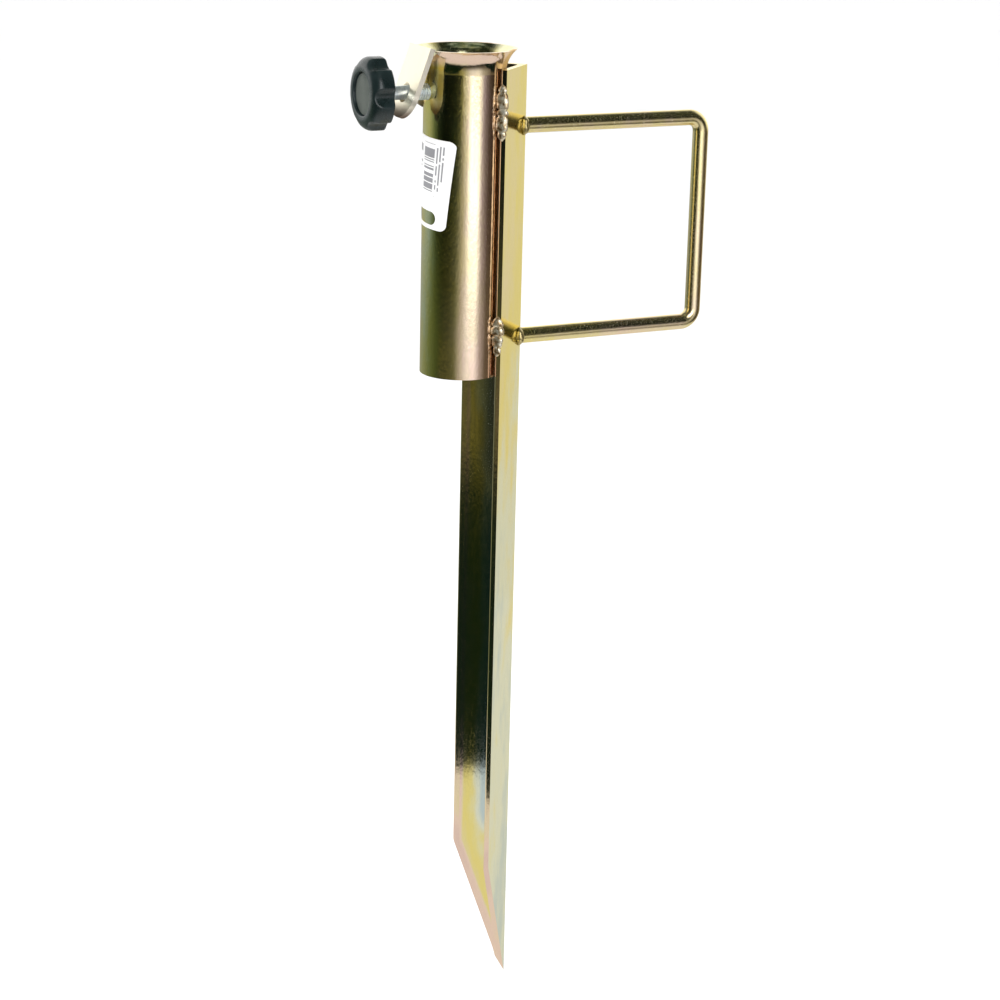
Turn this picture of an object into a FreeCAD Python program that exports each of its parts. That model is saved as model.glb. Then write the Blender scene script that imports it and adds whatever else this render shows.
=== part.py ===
import FreeCAD, Part
import math
import os
import Sketcher

V = FreeCAD.Vector
Rot = FreeCAD.Rotation
Plc = FreeCAD.Placement

# Frame: +Z up along the socket bore, origin at the centre of the bore's lower end, +X towards the
# handle, -X towards the clamp knob. All lengths are millimetres, angles are degrees.
DIMENSIONS = [
    ("tube_outer_radius", 20.0),
    ("tube_bore_radius", 18.0),
    ("tube_length", 160.0),
    ("flare_bend_height", 155.4),
    ("flare_outer_round", 14.5),
    ("flare_inner_round", 11.5),
    ("flare_rim_radius", 25.2),
    ("leg_width", 30.0),
    ("leg_thickness", 3.0),
    ("leg_gap", 0.64),
    ("leg_root_radius", 3.5),
    ("leg_toe_radius", 1.2),
    ("spike_top_height", 151.0),
    ("spike_depth", 340.0),
    ("spike_taper_length", 75.0),
    ("handle_rod_diameter", 8.0),
    ("handle_reach", 133.0),
    ("handle_upper_height", 121.4),
    ("handle_lower_height", 15.5),
    ("handle_bend_radius", 7.0),
    ("tongue_lean_angle", 20.0),
    ("tongue_thickness", 2.5),
    ("tongue_half_width", 12.2),
    ("tongue_top_offset", 23.67),
    ("tongue_top_height", 161.43),
    ("tongue_hole_radius", 4.6),
    ("ear_inner_offset", 10.2),
    ("ear_thickness", 2.0),
    ("ear_top_height", 151.0),
    ("ear_front_low_height", 138.8),
    ("ear_rear_low_height", 130.6),
    ("ear_rear_offset", 17.25),
    ("screw_height", 139.5),
    ("screw_thread_radius", 3.95),
    ("screw_shank_radius", 3.4),
    ("screw_tapped_radius", 4.02),
    ("screw_tip_offset", 18.2),
    ("screw_thread_length", 9.8),
    ("screw_point_chamfer", 1.0),
    ("bolt_head_height", 5.3),
    ("bolt_head_across_flats", 13.0),
    ("bolt_head_play", 0.1),
    ("knob_back_offset", 43.3),
    ("knob_front_offset", 54.2),
    ("knob_radius", 17.5),
    ("knob_dome_radius", 5.2),
    ("knob_back_edge_radius", 1.0),
    ("knob_hub_radius", 7.5),
    ("knob_hub_length", 2.0),
    ("knob_flute_radius", 5.2),
    ("knob_flute_circle_radius", 20.2),
    ("knob_recess_radius", 10.3),
    ("knob_recess_depth", 2.8),
    ("cap_radius", 10.2),
    ("cap_thickness", 1.4),
    ("label_width", 31.0),
    ("label_height", 44.0),
    ("label_corner_radius", 3.0),
    ("label_thickness", 0.2),
    ("label_centre_height", 96.2),
    ("label_centre_arc", 1.4),
    ("label_tilt_angle", 5.0),
    ("label_slot_width", 17.0),
    ("label_slot_height", 6.6),
    ("label_slot_drop", 16.8),
    ("bead_width", 6.2),
    ("bead_thickness", 2.7),
    ("bead_angle", 61.6),
    ("bead_circle_radius", 22.7),
    ("bead_upper_height", 130.6),
    ("bead_upper_length", 27.5),
    ("bead_lower_height", 20.8),
    ("bead_lower_length", 20.5),
    ("handle_bead_setback", 1.8),
    ("handle_bead_length", 6.0),
    ("handle_bead_width", 11.4),
    ("handle_bead_height", 10.2),
    ("ear_bead_height", 140.8),
    ("ear_bead_length", 15.0),
    ("ear_bead_width", 3.8),
]
KNOB_LOBES = 6

doc = FreeCAD.newDocument("GroundSpike")
sheet = doc.addObject("Spreadsheet::Sheet", "Dimensions")
for row, (alias, value) in enumerate(DIMENSIONS, start=1):
    sheet.set(f"A{row}", alias)
    sheet.set(f"B{row}", str(value))
    sheet.setAlias(f"B{row}", alias)
doc.recompute()

NAMES = sorted((alias for alias, _ in DIMENSIONS), key=len, reverse=True)


def expression(text):
    """The spreadsheet expression for a formula written with the bare alias names."""
    out = text
    for i, alias in enumerate(NAMES):
        out = out.replace(alias, f"<{i}>")
    for i, alias in enumerate(NAMES):
        out = out.replace(f"<{i}>", f"Dimensions.{alias}")
    return out


def value_of(text):
    """The number that a formula written with alias names gives."""
    result = sheet.evalExpression(expression(text))
    return float(getattr(result, "Value", result))


def new_body(label):
    body = doc.addObject("PartDesign::Body", label)
    body.Label = label
    return body


def base_plane(body, role):
    return next(f for f in body.Origin.OriginFeatures if f.Role == role)


def new_sketch(body, name, role, offset=None):
    sketch = body.newObject("Sketcher::SketchObject", name)
    sketch.AttachmentSupport = [(base_plane(body, role), "")]
    sketch.MapMode = "FlatFace"
    if offset is not None:
        sketch.AttachmentOffset = offset
    return sketch


def pin_coordinate(sketch, kind, geometry, position, formula):
    """Fixes one coordinate of a sketch point and drives it from the spreadsheet."""
    index = sketch.addConstraint(
        Sketcher.Constraint(kind, -1, 1, geometry, position, value_of(formula))
    )
    if any(alias in formula for alias in NAMES):
        sketch.setExpression(f"Constraints[{index}]", expression(formula))


def draw_outline(sketch, points):
    """Closed outline; each point is a pair of formulas."""
    numbers = [V(value_of(px), value_of(py), 0) for px, py in points]
    first = sketch.GeometryCount
    count = len(points)
    for i in range(count):
        sketch.addGeometry(Part.LineSegment(numbers[i], numbers[(i + 1) % count]), False)
    for i in range(count):
        sketch.addConstraint(
            Sketcher.Constraint("Coincident", first + i, 2, first + (i + 1) % count, 1)
        )
    for i, (px, py) in enumerate(points):
        pin_coordinate(sketch, "DistanceX", first + i, 1, px)
        pin_coordinate(sketch, "DistanceY", first + i, 1, py)


def draw_circle(sketch, px, py, radius):
    centre = V(value_of(px), value_of(py), 0)
    index = sketch.addGeometry(Part.Circle(centre, V(0, 0, 1), value_of(radius)), False)
    pin_coordinate(sketch, "DistanceX", index, 3, px)
    pin_coordinate(sketch, "DistanceY", index, 3, py)
    fixed = sketch.addConstraint(Sketcher.Constraint("Radius", index, value_of(radius)))
    sketch.setExpression(f"Constraints[{fixed}]", expression(radius))


def extrude(body, name, kind, sketch, length, midplane=False, reverse=False):
    feature = body.newObject(f"PartDesign::{kind}", name)
    feature.Profile = sketch
    feature.Length = value_of(length)
    feature.setExpression("Length", expression(length))
    feature.Midplane = midplane
    feature.Reversed = reverse
    sketch.Visibility = False
    body.Tip = feature
    doc.recompute()
    return feature


def turn(body, name, sketch, axis):
    feature = body.newObject("PartDesign::Revolution", name)
    feature.Profile = sketch
    feature.ReferenceAxis = axis
    feature.Angle = 360.0
    body.Tip = feature
    doc.recompute()
    return feature


def round_edges(body, name, base, picked, radius):
    feature = body.newObject("PartDesign::Fillet", name)
    feature.Base = (base, picked)
    feature.Radius = value_of(radius)
    feature.setExpression("Radius", expression(radius))
    body.Tip = feature
    doc.recompute()
    return feature


def edges_where(shape, test):
    return [f"Edge{i}" for i, edge in enumerate(shape.Edges, start=1) if test(edge)]


def vertical_edge_at(x, y):
    """Test for a straight edge along Z through a place in plan."""

    def test(edge):
        ends = [v.Point for v in edge.Vertexes]
        if len(ends) != 2 or abs(ends[0].z - ends[1].z) < 1:
            return False
        return all(math.hypot(p.x - x, p.y - y) < 0.01 for p in ends)

    return test


def bend_circle(shape, radius):
    """The circular edges of the given radius near the bend of the flare."""
    return edges_where(
        shape,
        lambda e: hasattr(e.Curve, "Radius")
        and abs(e.Curve.Radius - value_of(radius)) < 0.01
        and abs(e.Curve.Center.z - value_of("flare_bend_height")) < 2,
    )


def socket_tube():
    """Round tube with a flared mouth, a tapped screw hole, and a notch in the flare."""
    body = new_body("socket_tube")
    profile = new_sketch(body, "TubeProfile", "XZ_Plane")
    wall = "(tube_outer_radius - tube_bore_radius)"
    draw_outline(profile, [
        ("tube_bore_radius", "0"),
        ("tube_outer_radius", "0"),
        ("tube_outer_radius", "flare_bend_height"),
        ("flare_rim_radius", "tube_length"),
        (f"flare_rim_radius - {wall} * 0.9", "tube_length"),
        ("tube_bore_radius", f"flare_bend_height + {wall} * 0.35"),
    ])
    tube = turn(body, "TubeTurned", profile, (profile, ["V_Axis"]))
    solid = tube
    for side in ("outer", "inner"):
        radius = "tube_outer_radius" if side == "outer" else "tube_bore_radius"
        solid = round_edges(body, f"Flare_{side}", solid, bend_circle(solid.Shape, radius), f"flare_{side}_round")
    hole = new_sketch(body, "ScrewHoleSketch", "YZ_Plane")
    draw_circle(hole, "0", "screw_height", "screw_tapped_radius")
    extrude(body, "ScrewHole", "Pocket", hole, "tube_outer_radius + 5", reverse=False)
    notch = new_sketch(body, "NotchSketch", "XZ_Plane")
    inner = "(tongue_top_offset - tongue_thickness / cos(tongue_lean_angle * 1 deg))"
    low = "tube_length - 5.5"
    slope = "tan(tongue_lean_angle * 1 deg)"
    draw_outline(notch, [
        (f"-{inner} + 6 * {slope}", "tongue_top_height + 6"),
        (f"-{inner} - (tongue_top_height - {low}) * {slope}", low),
        ("-flare_rim_radius - 5", low),
        ("-flare_rim_radius - 5", "tongue_top_height + 6"),
    ])
    extrude(body, "TongueNotch", "Pocket", notch, "tongue_half_width * 2 + 0.1", midplane=True)
    return body


CORNER = "((tube_outer_radius + leg_gap + leg_thickness) * sqrt(2))"


def angle_spike():
    """Equal-leg angle section cradling the tube, both legs cut on a slant to one point."""
    body = new_body("angle_spike")
    section = new_sketch(body, "AngleSection", "XY_Plane", Plc(
        V(value_of(CORNER), 0, -value_of("spike_depth")), Rot(V(0, 0, 1), 135)))
    draw_outline(section, [
        ("0", "0"),
        ("leg_width", "0"),
        ("leg_width", "leg_thickness"),
        ("leg_thickness", "leg_thickness"),
        ("leg_thickness", "leg_width"),
        ("0", "leg_width"),
    ])
    bar = extrude(body, "AngleBar", "Pad", section, "spike_depth + spike_top_height")
    across = math.sqrt(2)
    inner = value_of(CORNER) - value_of("leg_thickness") * across
    bar = round_edges(body, "RootRadius", bar,
                      edges_where(bar.Shape, vertical_edge_at(inner, 0)), "leg_root_radius")
    toe_x = value_of(CORNER) - (value_of("leg_width") + value_of("leg_thickness")) / across
    toe_y = (value_of("leg_width") - value_of("leg_thickness")) / across
    toes = edges_where(bar.Shape, vertical_edge_at(toe_x, toe_y))
    toes += edges_where(bar.Shape, vertical_edge_at(toe_x, -toe_y))
    round_edges(body, "ToeRadius", bar, toes, "leg_toe_radius")
    for name, turn_angle in (("SlantCutNear", 45.0), ("SlantCutFar", -45.0)):
        slant = new_sketch(body, name + "Sketch", "XZ_Plane", Plc(
            V(value_of(CORNER), 0, 0), Rot(V(0, 1, 0), turn_angle)))
        draw_outline(slant, [
            ("0", "-spike_depth"),
            ("-leg_width * 1.2", "-spike_depth + spike_taper_length * 1.2"),
            ("-leg_width * 1.2", "-spike_depth - 5"),
            ("0", "-spike_depth - 5"),
        ])
        extrude(body, name, "Pocket", slant, "leg_width * 3", midplane=True)
    return body


def handle():
    """Round rod bent to a square D; both ends are coped over the angle's outer corner."""
    body = new_body("handle")
    path = new_sketch(body, "HandlePath", "XZ_Plane")
    start = value_of(CORNER) - 5
    reach, bend = value_of("handle_reach"), value_of("handle_bend_radius")
    high, low = value_of("handle_upper_height"), value_of("handle_lower_height")
    path.addGeometry([
        Part.LineSegment(V(start, high, 0), V(reach - bend, high, 0)),
        Part.ArcOfCircle(Part.Circle(V(reach - bend, high - bend, 0), V(0, 0, 1), bend),
                         0, math.pi / 2),
        Part.LineSegment(V(reach, high - bend, 0), V(reach, low + bend, 0)),
        Part.ArcOfCircle(Part.Circle(V(reach - bend, low + bend, 0), V(0, 0, 1), bend),
                         -math.pi / 2, 0),
        Part.LineSegment(V(reach - bend, low, 0), V(start, low, 0)),
    ], False)
    for pair in ((0, 2, 1, 2), (1, 1, 2, 1), (2, 2, 3, 2), (3, 1, 4, 1)):
        path.addConstraint(Sketcher.Constraint("Tangent", *pair))
    pin_coordinate(path, "DistanceX", 0, 1, f"{CORNER} - 5")
    pin_coordinate(path, "DistanceY", 0, 1, "handle_upper_height")
    pin_coordinate(path, "DistanceX", 4, 2, f"{CORNER} - 5")
    pin_coordinate(path, "DistanceY", 4, 2, "handle_lower_height")
    pin_coordinate(path, "DistanceX", 2, 1, "handle_reach")
    path.addConstraint(Sketcher.Constraint("Horizontal", 0))
    path.addConstraint(Sketcher.Constraint("Vertical", 2))
    path.addConstraint(Sketcher.Constraint("Horizontal", 4))
    for arc in (1, 3):
        fixed = path.addConstraint(Sketcher.Constraint("Radius", arc, bend))
        path.setExpression(f"Constraints[{fixed}]", "Dimensions.handle_bend_radius")
    ring = new_sketch(body, "RodSection", "YZ_Plane", Plc(V(0, 0, start), Rot()))
    draw_circle(ring, "0", "handle_upper_height", "handle_rod_diameter / 2")
    pipe = body.newObject("PartDesign::AdditivePipe", "BentRod")
    pipe.Profile = ring
    pipe.Spine = path
    body.Tip = pipe
    doc.recompute()
    cope = new_sketch(body, "CopeSketch", "XY_Plane")
    draw_outline(cope, [
        (CORNER, "0"),
        (f"{CORNER} - 15", "15"),
        (f"{CORNER} - 15", "-15"),
    ])
    extrude(body, "CopedEnds", "Pocket", cope, "spike_top_height * 3", midplane=True)
    return body


def tongue_plane():
    """Offset of a YZ sketch that lays it on the tongue's outer face, x along Y, y up the lean."""
    lean = value_of("tongue_lean_angle")
    return Plc(V(0, value_of("tongue_top_height"), -value_of("tongue_top_offset")),
               Rot(V(1, 0, 0), lean))


HOLE_DROP = "((tongue_top_height - screw_height) / cos(tongue_lean_angle * 1 deg))"
INNER_FACE = "(tongue_top_offset - tongue_thickness / cos(tongue_lean_angle * 1 deg))"


def inner_face_at(height):
    """Formula for the tongue's inner face, as X at a height."""
    slope = "tan(tongue_lean_angle * 1 deg)"
    return f"-{INNER_FACE} - (tongue_top_height - {height}) * {slope}"


def clamp_bracket(tube):
    """Leaning tongue with a rounded end around the screw hole, and one side ear to the tube."""
    body = new_body("bracket_blank")
    face = new_sketch(body, "TongueSketch", "YZ_Plane", tongue_plane())
    half, drop = value_of("tongue_half_width"), value_of(HOLE_DROP)
    face.addGeometry([
        Part.LineSegment(V(-half, 0, 0), V(half, 0, 0)),
        Part.LineSegment(V(half, 0, 0), V(half, -drop, 0)),
        Part.ArcOfCircle(Part.Circle(V(0, -drop, 0), V(0, 0, 1), half), math.pi, 2 * math.pi),
        Part.LineSegment(V(-half, -drop, 0), V(-half, 0, 0)),
    ], False)
    for pair in ((0, 2, 1, 1), (1, 2, 2, 2), (2, 1, 3, 1), (3, 2, 0, 1)):
        face.addConstraint(Sketcher.Constraint("Coincident", *pair))
    pin_coordinate(face, "DistanceX", 0, 1, "-tongue_half_width")
    pin_coordinate(face, "DistanceY", 0, 1, "0")
    pin_coordinate(face, "DistanceX", 0, 2, "tongue_half_width")
    pin_coordinate(face, "DistanceY", 0, 2, "0")
    pin_coordinate(face, "DistanceX", 1, 2, "tongue_half_width")
    pin_coordinate(face, "DistanceY", 1, 2, f"-{HOLE_DROP}")
    pin_coordinate(face, "DistanceX", 2, 1, "-tongue_half_width")
    pin_coordinate(face, "DistanceY", 2, 3, f"-{HOLE_DROP}")
    extrude(body, "Tongue", "Pad", face, "tongue_thickness")
    ear = new_sketch(body, "EarSketch", "XZ_Plane", Plc(
        V(0, 0, -value_of("ear_inner_offset")), Rot()))
    draw_outline(ear, [
        (f"{inner_face_at('ear_top_height')} - 1", "ear_top_height"),
        ("-ear_rear_offset", "ear_top_height"),
        ("-ear_rear_offset", "ear_rear_low_height"),
        (f"{inner_face_at('ear_front_low_height')} - 1", "ear_front_low_height"),
    ])
    extrude(body, "Ear", "Pad", ear, "ear_thickness", reverse=True)
    hole = new_sketch(body, "TongueHoleSketch", "YZ_Plane")
    draw_circle(hole, "0", "screw_height", "tongue_hole_radius")
    extrude(body, "TongueHole", "Pocket", hole, "60")
    return cut_away("clamp_bracket", body, [tube])


def clamp_screw():
    """Hexagon-head screw: head inside the knob, plain shank, threaded end."""
    body = new_body("clamp_screw")
    head_back = "(knob_front_offset - knob_recess_depth - bolt_head_play)"
    head_front = f"({head_back} - bolt_head_height)"
    hexagon = new_sketch(body, "HeadSketch", "YZ_Plane", Plc(
        V(0, 0, -value_of(head_back)), Rot()))
    corner = "(bolt_head_across_flats / 2 / cos(30 deg))"
    draw_outline(hexagon, [
        (f"{corner} * cos({a} deg)", f"screw_height + {corner} * sin({a} deg)")
        for a in range(0, 360, 60)
    ])
    extrude(body, "Head", "Pad", hexagon, "bolt_head_height")
    shank = new_sketch(body, "ShankSketch", "XZ_Plane")
    draw_outline(shank, [
        (f"-{head_front} - 0.5", "screw_height"),
        (f"-{head_front} - 0.5", "screw_height + screw_shank_radius"),
        ("-screw_tip_offset - screw_thread_length", "screw_height + screw_shank_radius"),
        ("-screw_tip_offset - screw_thread_length + 0.6", "screw_height + screw_thread_radius"),
        ("-screw_tip_offset - screw_point_chamfer", "screw_height + screw_thread_radius"),
        ("-screw_tip_offset", "screw_height + screw_thread_radius - screw_point_chamfer"),
        ("-screw_tip_offset", "screw_height"),
    ])
    turn(body, "ShankAndThread", shank, (shank, ["Edge7"]))
    return body


def knob_body():
    """Lobed grip: domed front ring around a recess, six flutes, short hub, hexagon pocket."""
    body = new_body("knob_body")
    profile = new_sketch(body, "KnobProfile", "XZ_Plane")
    floor = "(knob_front_offset - knob_recess_depth)"
    hub_end = "(knob_back_offset - knob_hub_length)"
    bore = "screw_height + screw_shank_radius + 0.1"
    draw_outline(profile, [
        (f"-{floor}", bore),
        (f"-{floor}", "screw_height + knob_recess_radius"),
        ("-knob_front_offset", "screw_height + knob_recess_radius"),
        ("-knob_front_offset", "screw_height + knob_radius"),
        ("-knob_back_offset", "screw_height + knob_radius"),
        ("-knob_back_offset", "screw_height + knob_hub_radius"),
        (f"-{hub_end}", "screw_height + knob_hub_radius"),
        (f"-{hub_end}", bore),
    ])
    centre = profile.addGeometry(Part.LineSegment(
        V(-60, value_of("screw_height"), 0), V(-30, value_of("screw_height"), 0)), True)
    pin_coordinate(profile, "DistanceY", centre, 1, "screw_height")
    pin_coordinate(profile, "DistanceY", centre, 2, "screw_height")
    knob = turn(body, "KnobTurned", profile, (profile, ["Axis0"]))

    def ring_edge(radius, offset):
        return edges_where(
            knob.Shape,
            lambda e: hasattr(e.Curve, "Radius")
            and abs(e.Curve.Radius - value_of(radius)) < 0.01
            and abs(e.Curve.Center.x + value_of(offset)) < 0.01,
        )

    knob = round_edges(body, "Dome", knob, ring_edge("knob_radius", "knob_front_offset"),
                       "knob_dome_radius")
    knob = round_edges(body, "BackEdge", knob, ring_edge("knob_radius", "knob_back_offset"),
                       "knob_back_edge_radius")
    flute = new_sketch(body, "FluteSketch", "YZ_Plane")
    draw_circle(flute, "knob_flute_circle_radius * sin(30 deg)",
                "screw_height + knob_flute_circle_radius * cos(30 deg)", "knob_flute_radius")
    cut = extrude(body, "Flute", "Pocket", flute, "knob_front_offset + 10")
    around = new_sketch(body, "FluteCentreLine", "XZ_Plane")
    around.addGeometry(Part.LineSegment(
        V(-60, value_of("screw_height"), 0), V(-30, value_of("screw_height"), 0)), False)
    pin_coordinate(around, "DistanceY", 0, 1, "screw_height")
    pin_coordinate(around, "DistanceY", 0, 2, "screw_height")
    flutes = body.newObject("PartDesign::PolarPattern", "Flutes")
    flutes.Originals = [cut]
    flutes.Axis = (around, ["Edge1"])
    flutes.Angle = 360.0
    flutes.Occurrences = KNOB_LOBES
    body.Tip = flutes
    doc.recompute()
    pocket = new_sketch(body, "HeadPocketSketch", "YZ_Plane", Plc(
        V(0, 0, -value_of(floor)), Rot()))
    corner = "((bolt_head_across_flats / 2 + bolt_head_play) / cos(30 deg))"
    draw_outline(pocket, [
        (f"{corner} * cos({a} deg)", f"screw_height + {corner} * sin({a} deg)")
        for a in range(0, 360, 60)
    ])
    extrude(body, "HeadPocket", "Pocket", pocket, "bolt_head_height + bolt_head_play * 2",
            reverse=True)
    return body


def knob_cap():
    """Round cover disc in the knob's recess."""
    body = new_body("knob_cap")
    floor = "(knob_front_offset - knob_recess_depth)"
    profile = new_sketch(body, "CapProfile", "XZ_Plane")
    draw_outline(profile, [
        (f"-{floor}", "screw_height"),
        (f"-{floor}", "screw_height + cap_radius"),
        (f"-{floor} - cap_thickness + 0.4", "screw_height + cap_radius"),
        (f"-{floor} - cap_thickness", "screw_height + cap_radius - 0.4"),
        (f"-{floor} - cap_thickness", "screw_height"),
    ])
    turn(body, "CapTurned", profile, (profile, ["Edge5"]))
    return body


def primitive(kind, name, place, **formulas):
    """A Part primitive whose sizes are formulas."""
    item = doc.addObject(f"Part::{kind}", name)
    for key, formula in formulas.items():
        setattr(item, key, value_of(formula))
        item.setExpression(key, expression(formula))
    item.Placement = place
    return item


def cut_away(label, base, tools):
    """Base less each tool; the last cut carries the label."""
    item = base
    for i, tool in enumerate(tools):
        step = doc.addObject("Part::Cut", f"{label}_{i}")
        step.Base = item
        step.Tool = tool
        step.Refine = False
        item = step
    item.Label = label
    return item


def bead(name, place, size_z, size_x, size_y):
    """Spindle-shaped weld bead with its three full sizes along its own axes."""
    return primitive("Ellipsoid", name, place, Radius1=f"{size_z} / 2", Radius2=f"{size_x} / 2",
                     Radius3=f"{size_y} / 2", Angle3="360")


def weld_beads(tube, spike, rod, bracket):
    """Beads that join tube, angle, handle and bracket, trimmed to the faces they sit on."""
    nodes = []
    for where in ("upper", "lower"):
        for side, sign in (("near", -1), ("far", 1)):
            angle = math.radians(value_of("bead_angle"))
            circle = value_of("bead_circle_radius")
            spot = V(circle * math.cos(angle), sign * circle * math.sin(angle),
                     value_of(f"bead_{where}_height"))
            across_edge = Rot(V(0, 0, 1), -sign * 45)
            raw = bead(f"RawTubeBead_{where}_{side}", Plc(spot, across_edge),
                       f"bead_{where}_length", "bead_thickness", "bead_width")
            nodes.append(cut_away(f"weld_tube_{where}_{side}", raw, [tube, spike]))
    for where in ("upper", "lower"):
        spot = V(value_of(CORNER) - value_of("handle_bead_setback"), 0,
                 value_of(f"handle_{where}_height"))
        raw = bead(f"RawHandleBead_{where}", Plc(spot, Rot()),
                   "handle_bead_height", "handle_bead_length", "handle_bead_width")
        nodes.append(cut_away(f"weld_handle_{where}", raw, [spike, rod]))
    spot = V(-value_of("ear_rear_offset") + 0.9,
             value_of("ear_inner_offset") + value_of("ear_thickness"),
             value_of("ear_bead_height"))
    raw = bead("RawEarBead", Plc(spot, Rot()), "ear_bead_length", "ear_bead_width",
               "ear_bead_width")
    nodes.append(cut_away("weld_bracket", raw, [tube, bracket]))
    return nodes


def draw_slot(sketch, px, py, width, height):
    """Round-ended slot lying along the sketch's x."""
    cx, cy = value_of(px), value_of(py)
    end = value_of(height) / 2
    reach = value_of(width) / 2 - end
    first = sketch.GeometryCount
    sketch.addGeometry([
        Part.LineSegment(V(cx - reach, cy + end, 0), V(cx + reach, cy + end, 0)),
        Part.ArcOfCircle(Part.Circle(V(cx + reach, cy, 0), V(0, 0, 1), end),
                         -math.pi / 2, math.pi / 2),
        Part.LineSegment(V(cx + reach, cy - end, 0), V(cx - reach, cy - end, 0)),
        Part.ArcOfCircle(Part.Circle(V(cx - reach, cy, 0), V(0, 0, 1), end),
                         math.pi / 2, 3 * math.pi / 2),
    ], False)
    for pair in ((0, 2, 1, 2), (1, 1, 2, 1), (2, 2, 3, 2), (3, 1, 0, 1)):
        one, one_end, two, two_end = pair
        sketch.addConstraint(
            Sketcher.Constraint("Coincident", first + one, one_end, first + two, two_end)
        )
    for arc, sign in ((1, "+"), (3, "-")):
        pin_coordinate(sketch, "DistanceX", first + arc, 3,
                       f"{px} {sign} ({width} - {height}) / 2")
        pin_coordinate(sketch, "DistanceY", first + arc, 3, py)


def label():
    """Rectangular sticker with rounded corners and a slotted hole, wrapped on the tube."""
    outer = primitive("Cylinder", "StickerOuter", Plc(), Height="tube_length",
                      Radius="tube_outer_radius + label_thickness")
    inner = primitive("Cylinder", "StickerInner", Plc(V(0, 0, -1), Rot()),
                      Height="tube_length + 2", Radius="tube_outer_radius")
    shell = doc.addObject("Part::Cut", "StickerShell")
    shell.Base = outer
    shell.Tool = inner
    stencil = new_body("label_stencil")
    turned = math.degrees(value_of("label_centre_arc / tube_outer_radius"))
    lie = Plc(V(0, value_of("label_centre_height"), 0), Rot(V(0, 1, 0), turned))
    lie = lie * Plc(V(), Rot(V(0, 0, 1), value_of("label_tilt_angle")))
    half = "tube_outer_radius * sin(label_width / 2 / tube_outer_radius * 1 rad)"
    sheet_outline = new_sketch(stencil, "StickerSketch", "YZ_Plane", lie)
    draw_outline(sheet_outline, [
        (f"-{half}", "-label_height / 2"),
        (half, "-label_height / 2"),
        (half, "label_height / 2"),
        (f"-{half}", "label_height / 2"),
    ])
    block = extrude(stencil, "Sticker", "Pad", sheet_outline, "tube_outer_radius * 1.5",
                    reverse=True)
    depth = value_of("tube_outer_radius") * 1.5
    sides = edges_where(block.Shape, lambda e: abs(e.Length - depth) < 0.01)
    round_edges(stencil, "StickerCorners", block, sides, "label_corner_radius")
    slot = new_sketch(stencil, "HangSlotSketch", "YZ_Plane", lie)
    draw_slot(slot, "0", "-label_slot_drop", "label_slot_width", "label_slot_height")
    extrude(stencil, "HangSlot", "Pocket", slot, "tube_outer_radius * 1.6")
    sticker = doc.addObject("Part::Common", "StickerWrapped")
    sticker.Base = shell
    sticker.Tool = stencil
    sticker.Label = "label"
    return sticker


tube = socket_tube()
spike = angle_spike()
rod = handle()
bracket = clamp_bracket(tube)
screw = clamp_screw()
knob = knob_body()
cap = knob_cap()
welds = weld_beads(tube, spike, rod, bracket)
sticker = label()
doc.recompute()

os.makedirs("parts", exist_ok=True)
nodes = [tube, spike, rod, bracket, screw, knob, cap, sticker] + welds
for item in doc.Objects:
    if {"Invalid", "Error"} & set(item.State):
        raise RuntimeError(f"{item.Name} failed: {item.State}")
for node in nodes:
    shape = node.Shape
    if shape.isNull() or not shape.isValid():
        raise RuntimeError(f"{node.Label} has no valid shape")
    shape.exportStep(f"parts/{node.Label}.step")
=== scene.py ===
"""Looks of the socket spike: plating, paper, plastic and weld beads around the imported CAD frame."""
import math

import bmesh
import bpy
from mathutils import Matrix, Vector, noise


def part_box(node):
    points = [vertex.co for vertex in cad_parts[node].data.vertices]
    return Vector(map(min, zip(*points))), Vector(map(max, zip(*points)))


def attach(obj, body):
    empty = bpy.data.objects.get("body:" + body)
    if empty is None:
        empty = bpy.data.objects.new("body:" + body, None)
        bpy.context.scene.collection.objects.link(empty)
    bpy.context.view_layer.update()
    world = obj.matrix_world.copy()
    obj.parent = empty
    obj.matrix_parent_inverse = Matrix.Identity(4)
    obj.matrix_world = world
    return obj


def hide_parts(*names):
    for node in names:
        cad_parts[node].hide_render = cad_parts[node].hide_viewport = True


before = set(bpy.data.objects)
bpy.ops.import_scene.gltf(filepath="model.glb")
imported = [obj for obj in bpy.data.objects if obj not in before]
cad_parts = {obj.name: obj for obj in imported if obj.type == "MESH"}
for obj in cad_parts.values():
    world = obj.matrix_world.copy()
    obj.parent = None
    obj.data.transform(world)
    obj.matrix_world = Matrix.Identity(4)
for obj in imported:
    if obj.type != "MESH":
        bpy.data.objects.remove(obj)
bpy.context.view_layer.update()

MM = 0.001


def corners(node):
    """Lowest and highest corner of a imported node, in millimetres."""
    return tuple(Vector(corner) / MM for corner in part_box(node))


# The frame's own sizes, in millimetres: the origin is at the foot of the tube, on its axis.
SCREW_LOW, SCREW_HIGH = corners("clamp_screw")
KNOB_LOW, KNOB_HIGH = corners("knob_body")
SPIKE_LOW, SPIKE_HIGH = corners("angle_spike")
SCREW_Z = (SCREW_LOW.z + SCREW_HIGH.z) / 2
MOUTH_Z = corners("socket_tube")[1].z
TUBE_RADIUS = 20.0
TIP_Z = SPIKE_LOW.z
POINT_HEIGHT = 75.0
LEG = 30.0


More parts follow.
